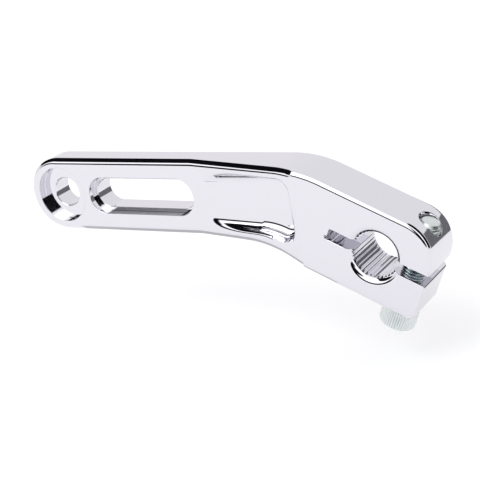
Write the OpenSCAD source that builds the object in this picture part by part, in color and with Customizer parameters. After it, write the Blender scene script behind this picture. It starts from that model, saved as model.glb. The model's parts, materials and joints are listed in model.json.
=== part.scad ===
// Splined-shaft foot lever: a one-piece billet arm with a slotted blade, clamped on
// its shaft by a socket-head pinch bolt with a spring lock washer under its head.
//
// X runs along the blade towards the clamp, Y from the front face to the back face,
// and Z is up. The origin is on the shaft's axis, halfway through the clamp.

/* [Blade] */
// Distance along X from the shaft's axis to the peg hole
reach = 126; // [118:1:134]
// Height of the blade's centre line above the shaft's axis
rise = 14.6; // [13:0.2:16]
// Width of the blade
blade_w = 27; // [25:0.5:28]
// Thickness of the blade
blade_t = 11.1; // [9:0.1:13]
// Diameter of the peg hole and width of the slot
hole_d = 10.7; // [8:0.1:12]
// Diameter of the counterbore round the peg hole
counterbore_d = 20.2; // [16:0.2:21.6]
// Depth of the counterbore and of the step round the slot
step_depth = 3.2; // [1.5:0.1:4.5]
// Width of the step round the slot
slot_step = 1.35; // [0.8:0.05:2]
// Distance from the shaft's axis to the centre of the slot's far end
slot_far = 106.75; // [105:0.25:108]
// Distance from the shaft's axis to the centre of the slot's near end
slot_near = 75.9; // [75:0.1:90]

/* [Ramp and pocket] */
// Distance from the shaft's axis to where the front face starts to rise
ramp_start = 68.5; // [66:0.5:70]
// Distance from the shaft's axis to where the front face levels out
ramp_end = 25; // [22:0.5:27]
// Metal left behind the pocket
pocket_floor_t = 12; // [11.5:0.1:15]
// Distance from the shaft's axis to the pocket's shallow end
pocket_far = 63.5; // [58:0.5:65]
// Distance from the shaft's axis to the pocket's deep end
pocket_near = 27.5; // [27:0.1:35]
// Rim left between the pocket and the edges of the arm
pocket_rim = 4.1; // [3.5:0.1:6]
// Radius of the pocket's corners
pocket_corner_r = 4.5; // [3:0.1:5]

/* [Clamp] */
// Angle by which the clamp droops below the blade
droop = 25; // [23:0.5:27]
// Width of the clamp across the shaft's axis
clamp_w = 31; // [30:0.5:33]
// Thickness of the clamp
clamp_t = 19.7; // [18:0.1:22]
// Distance from the shaft's axis to the end of the jaws
jaw_reach = 18.7; // [18.5:0.1:22]
// Diameter across the tips of the bore's serrations
spline_tip_d = 14.8; // [14:0.1:15]
// Depth of the grooves between the serrations
groove_depth = 0.6; // [0.3:0.05:0.7]
// Number of serrations
serrations = 36; // [24:1:48]
// Chamfer at both mouths of the bore
bore_chamfer = 1.8; // [0.8:0.1:2]
// Width of the cut that splits the jaws
split_w = 3.8; // [2:0.1:3.9]
// Distance that the cut runs past the shaft's axis, away from the jaws
split_depth = 17.1; // [14:0.1:18]

/* [Pinch bolt] */
// Distance from the shaft's axis to the bolt's axis
bolt_offset = 11.4; // [11.4:0.1:12]
// Diameter of the bolt's thread
bolt_d = 7.9; // [7.5:0.05:7.95]
// Length of the bolt under its head
bolt_length = 31.2; // [28:0.1:32]
// Diameter of the bolt's head
head_d = 11.9; // [11:0.1:13]
// Height of the bolt's head
head_h = 7.6; // [6:0.1:9]
// Hexagon socket, across its flats
socket_af = 6.35; // [5:0.05:6.5]
// Depth of the hexagon socket
socket_depth = 3.8; // [2:0.1:4.5]
// Thickness of the lock washer
washer_t = 1; // [0.8:0.1:2.5]

/* [Hidden] */

$fn = 96;
past = 1;              // how far a cutter runs past the surface it cuts
arc_step = 6;          // largest turn between two points of a rounded corner
top_bend_r = 40;       // outside of the bend between blade and clamp
bottom_bend_r = 42;    // inside of that bend
jaw_top_r = 12;        // upper corner of the jaws
jaw_bottom_r = 3;      // lower corner of the jaws
end_flat = 0.2;        // height of the flat left at the blade's round end
thread_gap = 0.05;     // between the bolt's thread and the upper jaw
shank_gap = 0.1;       // between the bolt and the lower jaw
seat_gap = 0.02;       // under the lock washer and under the bolt's head
washer_gap = 0.1;      // between the lock washer and the bolt
washer_split = 0.8;    // width of the cut in the lock washer
bolt_tip_chamfer = 1;  // at the thread's end
head_chamfer = 0.8;    // round the head's outer end

back = clamp_t / 2;
front = -clamp_t / 2;
blade_front = back - blade_t;
pocket_floor = back - pocket_floor_t;
blade_top = rise + blade_w / 2;
blade_bottom = rise - blade_w / 2;
slot_d = hole_d + 2 * slot_step;
groove_r = spline_tip_d / 2 + groove_depth;
washer_seat = -clamp_w / 2 - seat_gap;
head_seat = washer_seat - washer_t - seat_gap;

// The clamp's own plane coordinates (along it, across it) turned into the arm's
function in_clamp(along, across) = [
    along * cos(droop) + across * sin(droop),
    across * cos(droop) - along * sin(droop)
];

// Where a level line meets the clamp's upper or lower edge, moved by across
function on_clamp_edge(height, across) = [(across - height * cos(droop)) / sin(droop), height];

function unit(v) = v / norm(v);

function angle_of(v) = atan2(v[1], v[0]);

// Points of the arc that rounds the corner between two straight edges
function corner_arc(before, corner, after, r) =
    let (
        to_before = unit(before - corner),
        to_after = unit(after - corner),
        half = acos(to_before * to_after) / 2,
        centre = corner + unit(to_before + to_after) * r / sin(half),
        first = angle_of(corner + to_before * r / tan(half) - centre),
        last = angle_of(corner + to_after * r / tan(half) - centre),
        turn = (last - first + 540) % 360 - 180,
        steps = ceil(abs(turn) / arc_step)
    )
    [for (i = [0:steps]) centre + r * [cos(first + turn * i / steps), sin(first + turn * i / steps)]];

// A closed outline whose corners are rounded, each by its own radius
function rounded(corners, radii) = [
    for (i = [0:len(corners) - 1])
        each corner_arc(
            corners[(i + len(corners) - 1) % len(corners)],
            corners[i],
            corners[(i + 1) % len(corners)],
            radii[i]
        )
];

// The whole arm seen from the front
function arm_outline() = rounded(
    [
        [-reach - blade_w / 2, blade_top],
        [-reach - blade_w / 2, blade_bottom],
        on_clamp_edge(blade_bottom, -clamp_w / 2),
        in_clamp(jaw_reach, -clamp_w / 2),
        in_clamp(jaw_reach, clamp_w / 2),
        on_clamp_edge(blade_top, clamp_w / 2)
    ],
    [
        (blade_w - end_flat) / 2,
        (blade_w - end_flat) / 2,
        bottom_bend_r,
        jaw_bottom_r,
        jaw_top_r,
        top_bend_r
    ]
);

// The pocket seen from the front; its lower edge follows the arm's
function pocket_outline() =
    let (
        low = blade_bottom + pocket_rim,
        across = pocket_rim - clamp_w / 2,
        deep_low = (across + pocket_near * sin(droop)) / cos(droop)
    )
    rounded(
        [
            [-pocket_far, blade_top - pocket_rim],
            [-pocket_far, low],
            on_clamp_edge(low, across),
            [-pocket_near, deep_low],
            [-pocket_near, blade_top - pocket_rim]
        ],
        [pocket_corner_r, pocket_corner_r, bottom_bend_r / 2, pocket_corner_r, pocket_corner_r]
    );

// Extrudes a front view from one Y to a lower one
module from_to(y_high, y_low) {
    translate([0, y_high, 0]) rotate([90, 0, 0]) linear_extrude(y_high - y_low) children();
}

// A round hole along Y
module hole(x, z, d, y_high, y_low) {
    translate([x, y_high, z]) rotate([90, 0, 0]) cylinder(d = d, h = y_high - y_low);
}

// A slot along X with round ends
module slot(d, y_high, y_low) {
    hole(-slot_far, rise, d, y_high, y_low);
    hole(-slot_near, rise, d, y_high, y_low);
    translate([-slot_far, y_low, rise - d / 2]) cube([slot_far - slot_near, y_high - y_low, d]);
}

// Moves children into the clamp's frame: X along it, Z across it
module clamp_frame() {
    rotate([0, droop, 0]) children();
}

// Moves children onto the bolt's axis, with +Z from the head to the tip
module bolt_frame() {
    clamp_frame() translate([bolt_offset, 0, 0]) children();
}

// Plan of the thickness: level blade, ramp and level clamp
module thickness_plan() {
    far = reach + blade_w;
    polygon([
        [-far, back],
        [far, back],
        [far, front],
        [-ramp_end, front],
        [-ramp_start, blade_front],
        [-far, blade_front]
    ]);
}

// The serrated bore: a round hole at the tips, with a star of grooves cut past it
module serrated_bore() {
    star_inner_r = spline_tip_d / 2 - groove_depth;
    star = [
        for (i = [0:2 * serrations - 1])
            (i % 2 == 0 ? groove_r : star_inner_r) * [cos(180 * i / serrations), sin(180 * i / serrations)]
    ];
    from_to(back + past, front - past) {
        circle(d = spline_tip_d);
        polygon(star);
    }
    mouth_r = spline_tip_d / 2 + bore_chamfer;
    for (side = [-1, 1])
        rotate([side * 90, 0, 0])
            translate([0, 0, back - bore_chamfer])
                cylinder(r1 = spline_tip_d / 2, r2 = mouth_r + past, h = bore_chamfer + past);
}

// The cut that lets the jaws close, with its round inner end
module split_cut() {
    inner = split_depth - split_w / 2;
    clamp_frame() {
        translate([-inner, front - past, -split_w / 2])
            cube([inner + jaw_reach + past, clamp_t + 2 * past, split_w]);
        hole(-inner, 0, split_w, back + past, front - past);
    }
}

// Clearance in the lower jaw, thread in the upper one
module bolt_hole() {
    bolt_frame() {
        translate([0, 0, -clamp_w / 2 - past]) cylinder(r = bolt_d / 2 + shank_gap, h = clamp_w / 2 + past);
        cylinder(r = bolt_d / 2 + thread_gap, h = clamp_w / 2 + past);
    }
}

// The arm, one piece of billet
module lever_arm() {
    color([0.86, 0.86, 0.89])
        difference() {
            intersection() {
                from_to(back, front) polygon(arm_outline());
                translate([0, 0, -2 * clamp_w]) linear_extrude(4 * clamp_w) thickness_plan();
            }
            hole(-reach, rise, hole_d, back + past, blade_front - past);
            hole(-reach, rise, counterbore_d, blade_front + step_depth, blade_front - past);
            slot(hole_d, back + past, blade_front - past);
            slot(slot_d, blade_front + step_depth, blade_front - past);
            from_to(pocket_floor, front - past) polygon(pocket_outline());
            serrated_bore();
            split_cut();
            bolt_hole();
        }
}

// The spring lock washer under the bolt's head
module lock_washer() {
    color([0.8, 0.83, 0.82])
        bolt_frame()
            translate([0, 0, washer_seat - washer_t])
                difference() {
                    cylinder(d = head_d, h = washer_t);
                    translate([0, 0, -past]) cylinder(d = bolt_d + 2 * washer_gap, h = washer_t + 2 * past);
                    translate([0, -washer_split / 2, -past]) cube([head_d, washer_split, washer_t + 2 * past]);
                }
}

// The socket-head bolt that closes the jaws
module pinch_bolt() {
    color([0.76, 0.8, 0.8])
        bolt_frame()
            translate([0, 0, head_seat])
                difference() {
                    union() {
                        cylinder(d = bolt_d, h = bolt_length - bolt_tip_chamfer);
                        translate([0, 0, bolt_length - bolt_tip_chamfer])
                            cylinder(d1 = bolt_d, d2 = bolt_d - 2 * bolt_tip_chamfer, h = bolt_tip_chamfer);
                        translate([0, 0, head_chamfer - head_h]) cylinder(d = head_d, h = head_h - head_chamfer);
                        translate([0, 0, -head_h])
                            cylinder(d1 = head_d - 2 * head_chamfer, d2 = head_d, h = head_chamfer);
                    }
                    translate([0, 0, -head_h - past])
                        cylinder(d = socket_af / cos(30), h = socket_depth + past, $fn = 6);
                }
}

lever_arm();
lock_washer();
pinch_bolt();
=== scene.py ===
"""A chromed foot lever arm with its pinch bolt and lock washer, on a plain pale floor.

Meshes are built in millimetres, in the CAD part's own frame, and scaled to metres at the end.
"""

import json
import math

import bmesh
import bpy
from mathutils import Matrix, Vector

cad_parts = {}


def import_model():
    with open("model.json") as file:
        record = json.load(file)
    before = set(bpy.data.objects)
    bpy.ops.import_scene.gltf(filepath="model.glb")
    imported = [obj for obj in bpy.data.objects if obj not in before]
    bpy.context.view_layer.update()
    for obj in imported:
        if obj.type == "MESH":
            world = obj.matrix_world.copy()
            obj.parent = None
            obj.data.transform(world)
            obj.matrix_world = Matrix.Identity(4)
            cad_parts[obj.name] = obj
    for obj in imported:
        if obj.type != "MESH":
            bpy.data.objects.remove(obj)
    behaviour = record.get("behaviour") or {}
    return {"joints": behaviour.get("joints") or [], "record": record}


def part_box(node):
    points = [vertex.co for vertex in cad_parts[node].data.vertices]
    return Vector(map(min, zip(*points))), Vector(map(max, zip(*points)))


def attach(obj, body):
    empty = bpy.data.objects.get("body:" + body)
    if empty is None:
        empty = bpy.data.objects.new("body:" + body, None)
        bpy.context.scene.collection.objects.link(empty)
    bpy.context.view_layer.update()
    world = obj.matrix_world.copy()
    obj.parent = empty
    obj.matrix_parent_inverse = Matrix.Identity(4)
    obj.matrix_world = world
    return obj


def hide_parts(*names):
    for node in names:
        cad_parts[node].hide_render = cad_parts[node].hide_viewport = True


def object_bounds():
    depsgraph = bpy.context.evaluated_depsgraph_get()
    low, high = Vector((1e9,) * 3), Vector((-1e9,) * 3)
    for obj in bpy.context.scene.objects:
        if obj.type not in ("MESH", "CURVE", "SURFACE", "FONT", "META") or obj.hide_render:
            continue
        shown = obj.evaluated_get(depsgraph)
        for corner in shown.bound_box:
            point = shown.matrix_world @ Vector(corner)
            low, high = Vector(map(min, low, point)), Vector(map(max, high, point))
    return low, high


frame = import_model()
CAD_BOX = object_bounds()

MM = 0.001
MOUNTS = {m["name"]: m for m in frame["record"]["mounts"]}
JOINTS = {j["name"]: j for j in frame["joints"]}

# The blade. These sizes and the ones below are in millimetres
ARM_LOW, ARM_HIGH = (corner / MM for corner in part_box("lever_arm"))
FRONT, BACK = ARM_LOW.y, ARM_HIGH.y
BLADE_END = ARM_LOW.x
PEG_X, PEG_Z = MOUNTS["peg_hole"]["pos_m"][0] / MM, MOUNTS["peg_hole"]["pos_m"][2] / MM
HOLE_R = MOUNTS["peg_hole"]["dims"]["r_mm"]
BLADE_W = 27.0
BLADE_T = 11.1
BLADE_FRONT = BACK - BLADE_T
BLADE_TOP, BLADE_BOTTOM = PEG_Z + BLADE_W / 2, PEG_Z - BLADE_W / 2
COUNTERBORE_R = 10.1
STEP_DEPTH = 3.2
SLOT_STEP = 1.35
SLOT_FAR, SLOT_NEAR = -106.75, -75.9

# The ramp and its pocket, whose floor meets the ramp before the pocket's far end
RAMP_START, RAMP_END = -68.5, -25.0
RAMP_SLOPE = (FRONT - BLADE_FRONT) / (RAMP_END - RAMP_START)
POCKET_FLOOR = BACK - 12.0
POCKET_FAR, POCKET_NEAR = -70.0, -27.5
POCKET_RIM = 4.1
POCKET_CORNER_R = 4.5
POCKET_FILLET = 2.9
POCKET_EDGE_R = 1.4

# The clamp
DROOP = math.radians(25)
CLAMP_HALF = 15.5
JAW_REACH = 18.7
TOP_BEND_R, BOTTOM_BEND_R = 40.0, 42.0
JAW_TOP_R, JAW_BOTTOM_R = 12.0, 3.0
BORE_TIP_R = MOUNTS["shaft_bore"]["dims"]["r_mm"]
GROOVE_DEPTH = 0.6
SERRATIONS = 36
SPLIT_W = 3.8
SPLIT_END = -16.4

# The front edges: chamfer, rounding of its edge at the wall, rounding of its edge at the face
BLADE_EDGE = (1.5, 0.12, 0.9)
BLADE_END_EDGE = (0.8, 0.12, 0.6)
CLAMP_EDGE = (0.85, 0.15, 0.8)
CORNER_EDGE = (1.0, 0.62, 0.66)
JAW_EDGE = (0.25, 0.3, 0.3)
BORE_EDGE = (1.8, 1.0, 1.0)

# Where one front edge turns into the next, and over what distance, along or across the clamp
CORNER_FROM, CORNER_BLEND = 6.0, 2.0
UPPER_JAW_FROM, UPPER_JAW_BLEND = 9.5, 3.2
LOWER_JAW_FROM, LOWER_JAW_BLEND = 15.6, 1.4

# The rounded back edge, and the edges of the holes
BACK_EDGE_R = 2.6
SMALL_EDGE = 0.22

# Arcs are drawn in steps of ARC_STEP, or five times that up to the radius SMALL_ARC
ARC_STEP = math.radians(2)
SMALL_ARC = 2.0

# How far a cutter goes past a face, and what counts as no distance
PAST = 1.0
TINY = 1e-4

# The bolt and its washer, along the bolt's own axis
BOLT_AT = Vector(JOINTS["bolt_turn"]["pos_m"]) / MM
BOLT_OFFSET = BOLT_AT.length
WASHER_T = 1.0
SEAT_GAP = 0.02
WASHER_SEAT = -CLAMP_HALF - SEAT_GAP
HEAD_SEAT = WASHER_SEAT - WASHER_T - SEAT_GAP
BOLT_R = 3.95
BOLT_LENGTH = 31.2
HEAD_R = 5.95
HEAD_H = 7.6
PITCH = 25.4 / 24
THREAD_DEPTH = 0.62
KNURLS = 46

TO_CLAMP = Matrix.Rotation(DROOP, 4, "Y")
TO_BOLT = TO_CLAMP @ Matrix.Translation((BOLT_OFFSET, 0, 0))


# ---------------------------------------------------------------- outlines

def in_clamp(along, across):
    """A point given along and across the clamp, in the arm's X and Z."""
    return Vector(
        (
            along * math.cos(DROOP) + across * math.sin(DROOP),
            across * math.cos(DROOP) - along * math.sin(DROOP),
        )
    )


def clamp_coords(point):
    """The other way round: along and across the clamp for a point in X and Z."""
    return (
        point.x * math.cos(DROOP) - point.y * math.sin(DROOP),
        point.x * math.sin(DROOP) + point.y * math.cos(DROOP),
    )


def on_clamp_edge(height, across):
    """Where a level line meets the line that lies across from the clamp's axis."""
    return Vector(((across - height * math.cos(DROOP)) / math.sin(DROOP), height))


def corner_arc(before, corner, after, radius):
    """Points and outward normals of the arc that rounds one corner of a counterclockwise outline."""
    to_before, to_after = (before - corner).normalized(), (after - corner).normalized()
    half = to_before.angle(to_after) / 2
    centre = corner + (to_before + to_after).normalized() * radius / math.sin(half)
    first = corner + to_before * radius / math.tan(half) - centre
    last = corner + to_after * radius / math.tan(half) - centre
    start = math.atan2(first.y, first.x)
    turn = (math.atan2(last.y, last.x) - start + math.pi) % math.tau - math.pi
    steps = max(2, math.ceil(abs(turn) / (ARC_STEP if radius > SMALL_ARC else 5 * ARC_STEP)))
    outward = math.copysign(1, turn)
    arc = []
    for i in range(steps + 1):
        angle = start + turn * i / steps
        ray = Vector((math.cos(angle), math.sin(angle)))
        arc.append((centre + ray * radius, ray * outward))
    return arc


def rounded(corners, radii):
    """A closed counterclockwise outline as points with outward normals."""
    count = len(corners)
    outline = []
    for i in range(count):
        outline += corner_arc(corners[i - 1], corners[i], corners[(i + 1) % count], radii[i])
    return outline


def ring(outline, y, out=0.0):
    """The outline moved outwards and placed at one Y."""
    return [Vector((p.x + out * n.x, y, p.y + out * n.y)) for p, n in outline]


# ---------------------------------------------------------------- mesh helpers

def new_object(name, bm, smooth_angle=30):
    """A bmesh as an object, smooth but for its sharp edges."""
    bmesh.ops.recalc_face_normals(bm, faces=bm.faces)
    mesh = bpy.data.meshes.new(name)
    bm.to_mesh(mesh)
    bm.free()
    made = bpy.data.objects.new(name, mesh)
    bpy.context.scene.collection.objects.link(made)
    shade(made, smooth_angle)
    return made


def shade(obj, smooth_angle=30):
    obj.data.shade_smooth()
    obj.data.set_sharp_from_angle(angle=math.radians(smooth_angle))


def skin(bm, levels):
    """Faces between neighbouring rings of equally many vertices."""
    count = len(levels[0])
    for low, high in zip(levels, levels[1:]):
        for i in range(count):
            j = (i + 1) % count
            bm.faces.new((low[i], low[j], high[j], high[i]))


def stack(rings, place=Matrix.Identity(4)):
    """A closed solid through rings of equally many points, with a face at each end."""
    bm = bmesh.new()
    levels = [[bm.verts.new(place @ p) for p in points] for points in rings]
    skin(bm, levels)
    bm.faces.new(levels[0])
    bm.faces.new(levels[-1])
    return bm


def angles(count):
    """Equal steps of one turn."""
    return [math.tau * i / count for i in range(count)]


def on_circle(radius, angle, height):
    return Vector((radius * math.cos(angle), radius * math.sin(angle), height))


def lathe(profile, segments=144):
    """Rings about the Z axis for a profile of (radius, height)."""
    return [[on_circle(r, a, h) for a in angles(segments)] for r, h in profile]


def about_y(x, z):
    """Places a lathe's axis along Y, its heights as Y, through X and Z."""
    return Matrix.Translation((x, 0, z)) @ Matrix.Rotation(math.radians(-90), 4, "X")


def mouth(out, y, outwards, size=SMALL_EDGE, steps=4):
    """Profile points of a hole's rounded mouth, from inside to just outside the face at y."""
    beyond = 0.01
    points = []
    for i in range(steps + 1):
        angle = math.pi / 2 * i / steps
        depth = size - (size + beyond) * math.sin(angle)
        points.append((out + size * (1 - math.cos(angle)), y - outwards * depth))
    points.append((out + size, y + outwards * PAST))
    return points


def through(out, size=SMALL_EDGE):
    """Profile points of a hole right through the clamp, with both mouths rounded."""
    return mouth(out, FRONT, -1, size)[::-1] + mouth(out, BACK, 1, size)


def combine(body, operation, bm):
    """Replaces the body's mesh by what a boolean with another solid leaves of it."""
    tool = new_object("tool", bm)
    step = body.modifiers.new("combine", "BOOLEAN")
    step.operation, step.solver, step.object = operation, "MANIFOLD", tool
    view_layer = bpy.context.evaluated_depsgraph_get()
    result = bpy.data.meshes.new_from_object(body.evaluated_get(view_layer))
    body.modifiers.clear()
    old, body.data = body.data, result
    bpy.data.meshes.remove(old)
    bpy.data.meshes.remove(tool.data)


def cut(body, *cutters):
    """Takes each cutter's solid out of the body."""
    for bm in cutters:
        combine(body, "DIFFERENCE", bm)


def keep_largest(bm):
    """Deletes the slivers that cutting leaves loose."""
    unseen = set(bm.faces)
    islands = []
    while unseen:
        island = [unseen.pop()]
        for face in island:
            for edge in face.edges:
                new = [other for other in edge.link_faces if other in unseen]
                unseen.difference_update(new)
                island += new
        islands.append(island)
    kept = {v for face in max(islands, key=len) for v in face.verts}
    bmesh.ops.delete(bm, geom=[v for v in bm.verts if v not in kept], context="VERTS")


def finish_mesh(obj, name, smooth_angle=30):
    """Cleans the mesh, scales it to metres and gives its flat faces true normals."""
    bm = bmesh.new()
    bm.from_mesh(obj.data)
    bmesh.ops.remove_doubles(bm, verts=bm.verts, dist=TINY)
    bmesh.ops.dissolve_degenerate(bm, edges=bm.edges, dist=TINY)
    keep_largest(bm)
    bmesh.ops.recalc_face_normals(bm, faces=bm.faces)
    bm.to_mesh(obj.data)
    bm.free()
    obj.data.transform(Matrix.Scale(MM, 4))
    obj.name = obj.data.name = name
    shade(obj, smooth_angle)
    step = obj.modifiers.new("normals", "WEIGHTED_NORMAL")
    step.mode, step.weight, step.keep_sharp = "FACE_AREA_WITH_ANGLE", 100, True
    return obj


# ---------------------------------------------------------------- the arm

def surface_y(x):
    """Y of the arm's front face: level blade, ramp and level clamp."""
    return BLADE_FRONT + RAMP_SLOPE * (min(max(x, RAMP_START), RAMP_END) - RAMP_START)


def split_at(outline, x, inset):
    """Adds the points of the outline that lie at x once they are moved in by inset."""
    made = []
    for (p, n), (q, m) in zip(outline, outline[1:] + outline[:1]):
        made.append((p, n))
        a, b = p.x - inset * n.x - x, q.x - inset * m.x - x
        if a * b < 0:
            made.append((p.lerp(q, a / (a - b)), n.lerp(m, a / (a - b)).normalized()))
    return made


def arm_outline():
    """The arm's outline, with points where its front face bends."""
    # A short straight stretch between the two arcs of the blade's end
    straight = 0.05
    end_r = BLADE_W / 2 - straight
    corners = [
        Vector((BLADE_END, BLADE_TOP)),
        Vector((BLADE_END, BLADE_BOTTOM)),
        on_clamp_edge(BLADE_BOTTOM, -CLAMP_HALF),
        in_clamp(JAW_REACH, -CLAMP_HALF),
        in_clamp(JAW_REACH, CLAMP_HALF),
        on_clamp_edge(BLADE_TOP, CLAMP_HALF),
    ]
    outline = rounded(corners, [end_r, end_r, BOTTOM_BEND_R, JAW_BOTTOM_R, JAW_TOP_R, TOP_BEND_R])
    # The front edge changes size over this distance at the ramp's end
    edge_change = 0.15
    outline = split_at(outline, RAMP_START, 0)
    outline = split_at(outline, RAMP_END - edge_change, inset_of(BLADE_EDGE))
    return split_at(outline, RAMP_END, inset_of(CLAMP_EDGE))


def blend(a, b, share):
    share = min(max(share, 0), 1)
    return a + (b - a) * share


def blend_edges(a, b, share):
    return tuple(blend(x, y, share) for x, y in zip(a, b))


def inset_of(edge):
    """How far in from the outline an edge's chamfer and its rounding reach."""
    chamfer, _, face_round = edge
    return chamfer + face_round


def front_edge(point, normal):
    """Chamfer and the roundings of its two edges at a point of the outline."""
    end_blend, margin = 0.7, 0.01
    if point.x < PEG_X:
        return blend_edges(BLADE_EDGE, BLADE_END_EDGE, -normal.x / end_blend)
    if point.x - inset_of(CLAMP_EDGE) * normal.x < RAMP_END - margin:
        return BLADE_EDGE
    along, across = clamp_coords(point)
    if across < 0:
        return blend_edges(CLAMP_EDGE, JAW_EDGE, (along - LOWER_JAW_FROM) / LOWER_JAW_BLEND)
    edge = blend_edges(CLAMP_EDGE, CORNER_EDGE, (along - CORNER_FROM) / CORNER_BLEND)
    return blend_edges(edge, JAW_EDGE, (UPPER_JAW_FROM - across) / UPPER_JAW_BLEND)


def half_chamfer(chamfer, edge, steps):
    """(away from the corner's first side, along it) for the rounded edge between it and a chamfer."""
    radius = edge / math.tan(math.pi / 8)
    turns = [math.pi / 4 * i / steps for i in range(steps + 1)]
    return [(radius * (1 - math.cos(t)), chamfer + edge - radius * math.sin(t)) for t in turns]


def chamfer_profile(chamfer, wall_round, face_round, steps=5):
    """(inset, depth) from the wall to the face, across a chamfer whose two edges are rounded."""
    face_side = half_chamfer(chamfer, face_round, steps)
    return half_chamfer(chamfer, wall_round, steps) + [(b, a) for a, b in reversed(face_side)]


def back_rings(outline, steps=10):
    """The rounded back edge, from the flat back to the wall."""
    rings = []
    for i in range(steps + 1):
        angle = math.pi / 2 * (1 - i / steps)
        inset, depth = BACK_EDGE_R * (1 - math.cos(angle)), BACK_EDGE_R * (1 - math.sin(angle))
        rings.append(ring(outline, BACK - depth, -inset))
    return rings


def front_rings(outline):
    """The chamfered front edge, from the wall to the face. It follows the ramp."""
    profiles = [chamfer_profile(*front_edge(p, n)) for p, n in outline]
    rings = []
    for level in zip(*profiles):
        points = []
        for (p, n), (inset, depth) in zip(outline, level):
            x = p.x - inset * n.x
            points.append(Vector((x, surface_y(x) + depth, p.y - inset * n.y)))
        rings.append(points)
    return rings


def close_front(bm, rim):
    """Three faces inside the last ring: the clamp, the ramp and the blade."""
    low_start, high_start = [i for i, v in enumerate(rim) if abs(v.co.x - RAMP_START) < TINY]
    on_clamp = [i for i, v in enumerate(rim) if v.co.x > RAMP_END - TINY]
    low_end, high_end = on_clamp[0], on_clamp[-1]
    bm.faces.new(rim[low_start : low_end + 1] + rim[high_end : high_start + 1])
    bm.faces.new(rim[low_end : high_end + 1])
    bm.faces.new(rim[high_start:] + rim[: low_start + 1])


def arm_blank():
    """The arm before anything is cut into it."""
    outline = arm_outline()
    bm = bmesh.new()
    rings = back_rings(outline) + front_rings(outline)
    levels = [[bm.verts.new(p) for p in points] for points in rings]
    skin(bm, levels)
    bm.faces.new(levels[0])
    close_front(bm, levels[-1])
    return new_object("arm_body", bm)


def peg_hole():
    """The counterbore, and the hole through its floor."""
    floor = BLADE_FRONT + STEP_DEPTH
    fillet, edge = 0.15, 0.15
    profile = mouth(COUNTERBORE_R, BLADE_FRONT, -1)[::-1]
    profile += [(COUNTERBORE_R, floor - fillet), (COUNTERBORE_R - fillet, floor)]
    profile += [(HOLE_R + edge, floor), (HOLE_R, floor + edge)]
    profile += mouth(HOLE_R, BACK, 1)
    return stack(lathe(profile), about_y(PEG_X, PEG_Z))


def stadium():
    """The slot's outline at the width of the peg hole, with a short straight stretch at each end."""
    straight = 0.01
    corners = [
        Vector((SLOT_NEAR + HOLE_R, PEG_Z + HOLE_R)),
        Vector((SLOT_FAR - HOLE_R, PEG_Z + HOLE_R)),
        Vector((SLOT_FAR - HOLE_R, PEG_Z - HOLE_R)),
        Vector((SLOT_NEAR + HOLE_R, PEG_Z - HOLE_R)),
    ]
    return rounded(corners, [HOLE_R - straight] * 4)


def peg_slot():
    """The slot, wider down to its step."""
    floor = BLADE_FRONT + STEP_DEPTH
    fillet, edge = 0.1, 0.12
    profile = mouth(SLOT_STEP, BLADE_FRONT, -1)[::-1]
    profile += [(SLOT_STEP, floor - fillet), (SLOT_STEP - fillet, floor), (edge, floor), (0, floor + edge)]
    profile += mouth(0, BACK, 1)
    outline = stadium()
    return stack([ring(outline, y, out) for out, y in profile])


def pocket_outline():
    """The pocket's outline at its rim, which keeps one distance from the arm's own edges."""
    low = BLADE_BOTTOM + POCKET_RIM
    across = POCKET_RIM - CLAMP_HALF
    deep_low = (across - POCKET_NEAR * math.sin(DROOP)) / math.cos(DROOP)
    top = BLADE_TOP - POCKET_RIM
    corners = [
        Vector((POCKET_FAR, top)),
        Vector((POCKET_FAR, low)),
        on_clamp_edge(low, across),
        Vector((POCKET_NEAR, deep_low)),
        Vector((POCKET_NEAR, top)),
    ]
    r = POCKET_CORNER_R
    return rounded(corners, [r, r, BOTTOM_BEND_R / 2, r, r])


def pocket(steps=14):
    """The pocket with a fillet round its level floor."""
    outline = pocket_outline()
    rings = []
    for i in range(steps + 1):
        angle = math.pi / 2 * i / steps
        inset, rise = POCKET_FILLET * (1 - math.sin(angle)), POCKET_FILLET * (1 - math.cos(angle))
        rings.append(ring(outline, POCKET_FLOOR - rise, -inset))
    rings.append(ring(outline, FRONT - PAST))
    return stack(rings)


def on_ramp(vertex):
    x, y, _ = vertex.co
    margin, height_margin = 0.1, 1e-3
    return RAMP_START - margin < x < RAMP_END + margin and abs(y - surface_y(x)) < height_margin


def is_softened(edge, slant):
    """True for an edge of the ramp at the pocket or at the blade, but not at the arm's own edges."""
    if not all(on_ramp(v) for v in edge.verts) or len(edge.link_faces) != 2:
        return False
    parallel = 0.99999
    on_slant = [abs(face.normal.dot(slant)) > parallel for face in edge.link_faces]
    middle = (edge.verts[0].co + edge.verts[1].co) / 2
    below, beyond = 1.0, 0.5
    lowest, highest = BLADE_BOTTOM + POCKET_RIM - below, BLADE_TOP - POCKET_RIM + beyond
    near_pocket = middle.x < POCKET_NEAR + beyond and lowest <= middle.z < highest
    return near_pocket and on_slant[0] != on_slant[1]


def soften_ramp(body):
    """Rounds the edges where the ramp meets the pocket and the blade."""
    slant = Vector((RAMP_SLOPE, -1, 0)).normalized()
    bm = bmesh.new()
    bm.from_mesh(body.data)
    edges = [edge for edge in bm.edges if is_softened(edge, slant)]
    bmesh.ops.bevel(
        bm, geom=edges, offset=POCKET_EDGE_R, segments=4, profile=0.5, affect="EDGES", clamp_overlap=False
    )
    bm.to_mesh(body.data)
    bm.free()


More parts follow.
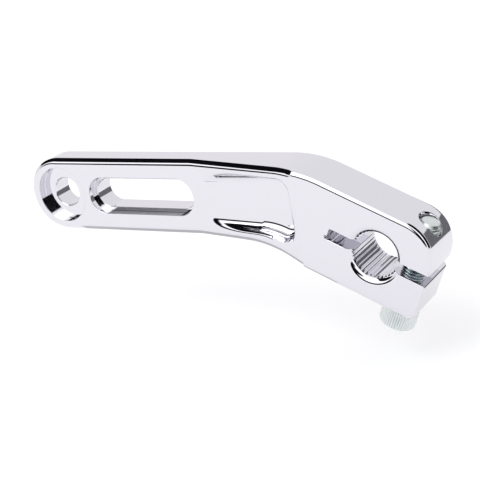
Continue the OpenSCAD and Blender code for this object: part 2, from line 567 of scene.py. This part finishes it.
def serrated_bore():
    """The bore with its grooves, each narrower at the root than at its mouth."""
    pitch = math.tau / SERRATIONS
    mouth_half, root_half = 0.44, 0.06
    points = []
    for i in range(SERRATIONS):
        for share, depth in ((-mouth_half, 0), (-root_half, 1), (root_half, 1), (mouth_half, 0)):
            angle = pitch * (i + 0.5 + share)
            r = BORE_TIP_R + GROOVE_DEPTH * depth
            points.append(Vector((r * math.cos(angle), 0, r * math.sin(angle))))
    rings = [[p + Vector((0, y, 0)) for p in points] for y in (FRONT - PAST, BACK + PAST)]
    return stack(rings)


def bore_mouth(y, outwards):
    """The chamfer round one mouth of the bore, its two edges rounded."""
    overlap, beyond = 0.02, 0.01
    profile = [
        (BORE_TIP_R - overlap + inset, y - outwards * (depth - beyond))
        for inset, depth in chamfer_profile(*BORE_EDGE)
    ]
    profile.append((profile[-1][0], y + outwards * PAST))
    return stack(lathe(profile, 192), about_y(0, 0))


def split():
    """The cut through the bore, which flares a little where it leaves the jaws' end."""
    half = SPLIT_W / 2
    flare_from, far = JAW_REACH - 0.3, JAW_REACH + 3
    flared = half + far - flare_from
    corners = [
        (SPLIT_END, half),
        (SPLIT_END, -half),
        (flare_from, -half),
        (far, -flared),
        (far, flared),
        (flare_from, half),
    ]
    end_r, flare_r = 0.6, 0.3
    outline = rounded([in_clamp(*c) for c in corners], [end_r, end_r] + [flare_r] * 4)
    return stack([ring(outline, y, out) for out, y in through(0, 0.24)])


def split_notch():
    """The small round notch that a drill left at the cut's end."""
    notch_r, edge = 0.62, 0.1
    at = in_clamp(SPLIT_END - 0.3, -1.3)
    return stack(lathe(through(notch_r, edge), 48), about_y(at.x, at.y))


def jaw_top(along):
    """Height of the clamp's upper surface, which rounds off towards the jaws' end."""
    past = max(along - (JAW_REACH - JAW_TOP_R), 0)
    return CLAMP_HALF - JAW_TOP_R + math.sqrt(max(JAW_TOP_R**2 - past**2, 0))


def bolt_hole(segments=96):
    """Through both jaws, with an even rounded mouth where it comes out of the upper corner."""
    clearance = 0.05
    bottom_r, r = BOLT_R + 2 * clearance, BOLT_R + clearance
    rings = lathe([(bottom_r, -CLAMP_HALF - PAST), (bottom_r, 0), (r, 0.3)], segments)
    # How far each ring of the mouth lies out from the thread and above the surface
    for out, height in ((clearance, -0.5), (0.22, -0.26), (0.36, -0.07), (0.55, 0.03), (0.75, PAST)):
        points = [on_circle(BOLT_R + out, angle, height) for angle in angles(segments)]
        rings.append([p + Vector((0, 0, jaw_top(BOLT_OFFSET + p.x))) for p in points])
    return stack(rings, TO_BOLT)


def arm():
    body = arm_blank()
    cut(body, pocket())
    soften_ramp(body)
    cut(body, peg_hole(), peg_slot(), serrated_bore(), bore_mouth(FRONT, -1), bore_mouth(BACK, 1))
    cut(body, bolt_hole(), split(), split_notch())
    return finish_mesh(body, "billet_arm")


# ---------------------------------------------------------------- the bolt and washer

def bolt_head():
    """A knurled head with a plain band under it and a rounded rim."""
    bottom, top = HEAD_SEAT - HEAD_H, HEAD_SEAT
    rim = 1.05
    seat_chamfer = 0.25
    band, band_fade, mid_fade, band_inset = 0.75, 0.35, 0.17, 0.1
    knurl_depth, knurl_crest = 0.32, 0.35
    knurl_from, knurl_fade = 0.35, 0.6

    def radius_at(angle, h):
        above, below = top - h, h - bottom
        past_band = blend(0, 1, (above - band) / band_fade)
        r = HEAD_R
        if below < rim:
            r -= rim - math.sqrt(max(rim**2 - (rim - below) ** 2, 0))
        if above < seat_chamfer:
            r -= seat_chamfer - above
        if above < band + band_fade:
            r -= band_inset * (1 - past_band) + SEAT_GAP
        wave = abs((angle * KNURLS / math.tau) % 1 - 0.5) * 2
        valley = max(0, (wave - knurl_crest) / (1 - knurl_crest))
        return r - knurl_depth * valley * past_band * blend(0, 1, (below - knurl_from) / knurl_fade)

    heights = [bottom + rim * (1 - math.cos(math.pi / 2 * i / 8)) for i in range(9)]
    heights += [bottom + 1.2, bottom + 2.5, bottom + 4.5]
    heights += [top - band - band_fade, top - band - mid_fade, top - band, top - seat_chamfer, top]
    turns = angles(KNURLS * 8)
    return stack([[on_circle(radius_at(a, h), a, h) for a in turns] for h in heights], TO_BOLT)


def hex_socket():
    """The hexagon socket, with its chamfered mouth and its drilled end."""
    bottom = HEAD_SEAT - HEAD_H
    across_flats, depth = 6.35, 3.8
    corner_r = across_flats / 2 / math.cos(math.pi / 6)
    hexagon = [[on_circle(corner_r, a, bottom + h) for a in angles(6)] for h in (-PAST, depth)]

    mouth_r, inner_r, mouth_depth = corner_r + 0.15, corner_r - 0.45, 0.6
    cone = lathe([(mouth_r + PAST, bottom - PAST), (inner_r, bottom + mouth_depth)], 96)

    drill_r, tip_r = 3.15, 0.05
    drill_end = bottom + depth + 0.3
    tip_end = drill_end + 1.1
    drill = lathe([(drill_r, bottom + 0.5), (drill_r, drill_end), (tip_r, tip_end)], 96)
    return [stack(hexagon, TO_BOLT), stack(cone, TO_BOLT), stack(drill, TO_BOLT)]


def thread_radius(phase, height, low, high):
    """A rounded 60 degree thread that starts and ends in chamfers."""
    crest, flank = 0.12, 0.72
    tip_chamfer = 1.15
    wave = abs(phase % 1 - 0.5) * 2
    r = BOLT_R - THREAD_DEPTH * min(max((wave - crest) / flank, 0), 1)
    chamfer = BOLT_R - tip_chamfer + (high - height)
    run_out = BOLT_R - THREAD_DEPTH * blend(0, 1, (height - low) / (2 * PITCH))
    return min(max(r, run_out), chamfer)


def bolt_thread():
    """The threaded shank. Its rows follow the helix and are clipped at both ends."""
    low, high = HEAD_SEAT - 0.3, HEAD_SEAT + BOLT_LENGTH
    rows_per_turn, columns = 12, 72
    rows = math.ceil((high - low) / PITCH + 2) * rows_per_turn
    bm = bmesh.new()
    grid = []
    for k in range(rows + rows_per_turn + 1):
        line = []
        for j in range(columns):
            share = j / columns
            h = low - PITCH + PITCH * (k / rows_per_turn + share)
            h = min(max(h, low), high)
            r = thread_radius(h / PITCH - share, h, low, high)
            line.append(bm.verts.new(TO_BOLT @ on_circle(r, math.tau * share, h)))
        grid.append(line)
    for k in range(rows):
        for j in range(columns - 1):
            bm.faces.new((grid[k][j], grid[k][j + 1], grid[k + 1][j + 1], grid[k + 1][j]))
        first, second = grid[k + rows_per_turn][0], grid[k + rows_per_turn + 1][0]
        bm.faces.new((grid[k][-1], first, second, grid[k + 1][-1]))
    bmesh.ops.remove_doubles(bm, verts=bm.verts, dist=TINY)
    bmesh.ops.dissolve_degenerate(bm, edges=bm.edges, dist=TINY)
    loose = [v for v in bm.verts if not v.link_faces]
    bmesh.ops.delete(bm, geom=loose, context="VERTS")
    bmesh.ops.holes_fill(bm, edges=[e for e in bm.edges if e.is_boundary], sides=0)
    return bm


def bolt():
    body = new_object("bolt_body", bolt_head())
    cut(body, *hex_socket())
    combine(body, "UNION", bolt_thread())
    return finish_mesh(body, "knurled_bolt", 40)


def washer():
    """A split ring of nearly square wire, its ends cut aslant."""
    inner, outer = BOLT_R + 0.15, HEAD_R - 0.1
    low, high = WASHER_SEAT - WASHER_T, WASHER_SEAT
    edge = 0.14
    bulge = edge * 0.3
    section = [
        (inner + edge, low),
        (outer - edge, low),
        (outer - bulge, low + bulge),
        (outer, low + edge),
        (outer, high - edge),
        (outer - bulge, high - bulge),
        (outer - edge, high),
        (inner + edge, high),
        (inner, high - edge),
        (inner, low + edge),
    ]
    gap, slant, steps = math.radians(7), math.radians(9), 120
    rings = []
    for i in range(steps + 1):
        start = gap / 2 + (math.tau - gap) * i / steps
        rings.append([on_circle(r, start + slant * ((h - low) / WASHER_T - 0.5), h) for r, h in section])
    return finish_mesh(new_object("washer_body", stack(rings, TO_BOLT)), "split_washer")


# ---------------------------------------------------------------- materials

def rgba(colour):
    return (*colour, 1)


class Graph:
    """Adds nodes to the tree of one material or world."""

    def __init__(self, tree):
        self.tree = tree

    def fill(self, node, inputs):
        """Sets each input to a value, or links it to another node's output."""
        for name, value in inputs.items():
            if isinstance(value, bpy.types.NodeSocket):
                self.tree.links.new(value, node.inputs[name])
            else:
                node.inputs[name].default_value = value

    def node(self, kind, inputs, output, **settings):
        """Adds a node and gives one of its outputs."""
        node = self.tree.nodes.new("ShaderNode" + kind)
        for setting, value in settings.items():
            setattr(node, setting, value)
        self.fill(node, inputs)
        return node.outputs[output]

    def noise(self, scale, detail):
        """A noise texture fixed to the object, its scale in features per metre."""
        place = self.node("TexCoord", {}, "Object")
        return self.node("TexNoise", {"Scale": scale, "Detail": detail, "Vector": place}, "Fac")

    def ranged(self, value, low, high, out_low=0, out_high=1, **settings):
        """Maps a value from one range to another."""
        inputs = {"Value": value, "From Min": low, "From Max": high, "To Min": out_low, "To Max": out_high}
        return self.node("MapRange", inputs, "Result", **settings)

    def maths(self, operation, *values):
        """One value from several, two at a time."""
        result = values[0]
        for value in values[1:]:
            result = self.node("Math", {0: result, 1: value}, "Value", operation=operation)
        return result

    def vector_maths(self, operation, a, b=(0, 0, 0), output="Vector"):
        return self.node("VectorMath", {0: a, 1: b}, output, operation=operation)

    def mix(self, factor, a, b):
        return self.node("Mix", {"Factor": factor, "A": a, "B": b}, "Result", data_type="RGBA")

    def bump(self, height, strength, distance):
        inputs = {"Height": height, "Strength": strength, "Distance": distance}
        return self.node("Bump", inputs, "Normal")


def new_material(name):
    material = bpy.data.materials.new(name)
    material.use_nodes = True
    return material, Graph(material.node_tree), material.node_tree.nodes["Principled BSDF"]


def chrome():
    """Polished chrome plate: a mirror with faint polishing haze."""
    material, graph, shader = new_material("chrome_plate")
    look = {
        "Base Color": rgba((0.725, 0.717, 0.762)),
        "Metallic": 1,
        "Roughness": graph.ranged(graph.noise(90, 4), 0.3, 0.7, 0.045, 0.085),
        "Normal": graph.bump(graph.noise(260, 1), 0.012, 0.4 * MM),
    }
    graph.fill(shader, look)
    return material


def thread_masks(graph, low, high):
    """Where the bolt's thread is, and where its grooves are, between two places along its axis. The groove
    mask carries painted shade.
    """
    axis = TO_BOLT.col[2].xyz
    place = graph.node("TexCoord", {}, "Object")
    along = graph.vector_maths("DOT_PRODUCT", place, axis, "Value")
    from_bolt = graph.vector_maths("SUBTRACT", place, BOLT_AT * MM)
    sideways = graph.vector_maths("CROSS_PRODUCT", from_bolt, axis)
    radius = graph.vector_maths("LENGTH", sideways, output="Value")
    starts = graph.ranged(along, low * MM, (low + 0.2) * MM)
    ends = graph.ranged(along, high * MM, (high + 0.5) * MM, 1, 0)
    groove_shade_mask = graph.ranged(radius, (BOLT_R - 0.5) * MM, (BOLT_R - 0.05) * MM, 1, 0)
    return graph.maths("MULTIPLY", starts, ends), groove_shade_mask


def zinc(name, colour, thread=None):
    """Bright zinc plate: pale, slightly green, and duller than chrome.

    A thread between two places along the bolt's axis is smoother, and painted shade darkens its grooves.
    """
    material, graph, shader = new_material(name)
    mottle = graph.ranged(graph.noise(400, 2), 0.35, 0.65)
    base = graph.mix(mottle, rgba(part * 0.93 for part in colour), rgba(colour))
    rough = graph.ranged(graph.noise(2500, 2), 0.3, 0.7, 0.32, 0.42)
    if thread:
        inside, groove_shade_mask = thread_masks(graph, *thread)
        # Painted shade: the thread's grooves, but for its tip, are darkened towards a dark teal
        base = graph.mix(graph.maths("MULTIPLY", inside, groove_shade_mask), base, rgba((0.16, 0.24, 0.25)))
        rough = graph.maths("SUBTRACT", rough, graph.ranged(inside, 0, 1, 0, 0.2))
    grain = graph.bump(graph.noise(6000, 2), 0.05, 0.03 * MM)
    graph.fill(shader, {"Base Color": base, "Metallic": 1, "Roughness": rough, "Normal": grain})
    return material


def matt(name, colour):
    material, graph, shader = new_material(name)
    graph.fill(shader, {"Base Color": rgba(colour), "Roughness": 0.9})
    return material


# ---------------------------------------------------------------- the studio

def flat_square(size):
    bm = bmesh.new()
    bmesh.ops.create_grid(bm, x_segments=1, y_segments=1, size=size)
    return bm


def card(name, centre, towards, width, height, material):
    """A flat card that faces a point. Only reflections see it."""
    bm = flat_square(0.5)
    bmesh.ops.scale(bm, vec=(width, height, 1), verts=bm.verts)
    made = new_object(name, bm)
    made.rotation_euler = (Vector(towards) - Vector(centre)).to_track_quat("Z", "Y").to_euler()
    made.location = centre
    made.data.materials.append(material)
    made.visible_camera = made.visible_shadow = made.visible_diffuse = False


def floor(level):
    made = new_object("floor", flat_square(3))
    made.location.z = level
    made.data.materials.append(matt("floor_white", (0.96, 0.96, 0.97)))


def world():
    """White to the camera. Reflections see a pale room with bright and dark patches.

    A patch is a product of soft steps. Each step names a coordinate of the direction, where the
    step starts and where it's full.
    """
    made = bpy.data.worlds.new("studio")
    bpy.context.scene.world = made
    made.use_nodes = True
    graph = Graph(made.node_tree)
    direction = graph.node("TexCoord", {}, "Generated")
    x, y, z = (graph.node("SeparateXYZ", {"Vector": direction}, axis) for axis in "XYZ")
    z_less_x = graph.maths("SUBTRACT", z, x)

    def patch(*steps):
        return graph.maths("MULTIPLY", *[graph.ranged(*s, interpolation_type="SMOOTHSTEP") for s in steps])

    above_or_right = graph.maths("MAXIMUM", patch((z, 0.28, 0.36)), patch((x, 0.2, 0.3)))
    bright = graph.maths("MULTIPLY", patch((y, -0.34, -0.42)), above_or_right)
    low_front = patch((y, -0.50, -0.58), (z, 0.40, 0.25), (z, 0.0, 0.04))
    upper_left = patch((z_less_x, 1.20, 1.26), (y, 0.34, 0.26))
    right = patch((x, 0.22, 0.28), (y, -0.38, -0.32), (y, 0.62, 0.56), (z, -0.04, 0))
    right_front = patch((x, 0.2, 0.28), (y, -0.60, -0.66))
    dark = graph.maths("MAXIMUM", low_front, upper_left, right, right_front)

    pale, brightest, darkest = (0.97, 0.96, 0.975), (1.55, 1.55, 1.55), (0.004, 0.004, 0.006)
    room = graph.mix(dark, graph.mix(bright, rgba(pale), rgba(brightest)), rgba(darkest))
    for ray, level in (("Is Diffuse Ray", 1.06), ("Is Camera Ray", 1.1)):
        room = graph.mix(graph.node("LightPath", {}, ray), room, rgba([level] * 3))
    graph.fill(made.node_tree.nodes["Background"], {"Color": room})


def soft_light(name, location, aim, size, power):
    data = bpy.data.lights.new(name, "AREA")
    data.shape, data.size, data.energy = "SQUARE", size, power
    made = bpy.data.objects.new(name, data)
    made.location = location
    made.rotation_euler = (Vector(aim) - Vector(location)).to_track_quat("-Z", "Y").to_euler()
    bpy.context.scene.collection.objects.link(made)


def camera():
    """From the front and the right, a little above, and rolled about its own line of sight."""
    azimuth, elevation, roll = (math.radians(angle) for angle in (33.601, 19.621, -10.016))
    data = bpy.data.cameras.new("camera")
    data.lens, data.sensor_width = 99.64, 36
    made = bpy.data.objects.new("camera", data)
    aim = Matrix.Rotation(azimuth, 4, "Z") @ Matrix.Rotation(math.pi / 2 - elevation, 4, "X")
    at = Matrix.Translation((0.1796, -0.352, 0.15))
    made.matrix_world = at @ aim @ Matrix.Rotation(roll, 4, "Z")
    bpy.context.scene.collection.objects.link(made)
    bpy.context.scene.camera = made


# ---------------------------------------------------------------- the scene

def place(piece, node, body, slot_name, material):
    piece.data.materials.clear()
    piece.data.materials.append(material)
    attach(piece, body)
    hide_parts(node)


zinc_washer = zinc("zinc_washer", (0.74, 0.78, 0.77))
# The bolt's thread, but for its tip: smoother, with painted shade in its grooves
zinc_bolt = zinc("zinc_bolt", (0.76, 0.80, 0.795), (HEAD_SEAT, HEAD_SEAT + BOLT_LENGTH - 3))
place(arm(), "lever_arm", "arm", "chrome_plate", chrome())
place(washer(), "lock_washer", "washer", "zinc_plate", zinc_washer)
place(bolt(), "pinch_bolt", "bolt", "zinc_plate", zinc_bolt)

# The floor is low enough for the bolt's head when it's fully unscrewed
unscrewed = JOINTS["bolt_travel"]["range_m"][1] * math.cos(DROOP)
floor(CAD_BOX[0].z - unscrewed)
dark_grey = matt("flag_grey", (0.13, 0.13, 0.14))
shade_card_grey = matt("shade_card_mid", (0.55, 0.55, 0.56))
card("back_flag", (0.0815, 0.165, 0.0185), (0.0815, 0, 0.0185), 0.187, 0.095, dark_grey)
# Painted shade: a mid grey card under the blade, seen only in reflections, stands in for the floor's shade
# beneath the arm
card("under_shade_card", (-0.0875, 0.0075, -0.0285), (-0.0875, 0.0075, 1), 0.115, 0.039, shade_card_grey)
world()
soft_light("key", (-0.51, -1.25, 1.486), (-0.03, 0, 0), 1.22, 8)
camera()
bpy.context.scene.view_settings.view_transform = "Standard"
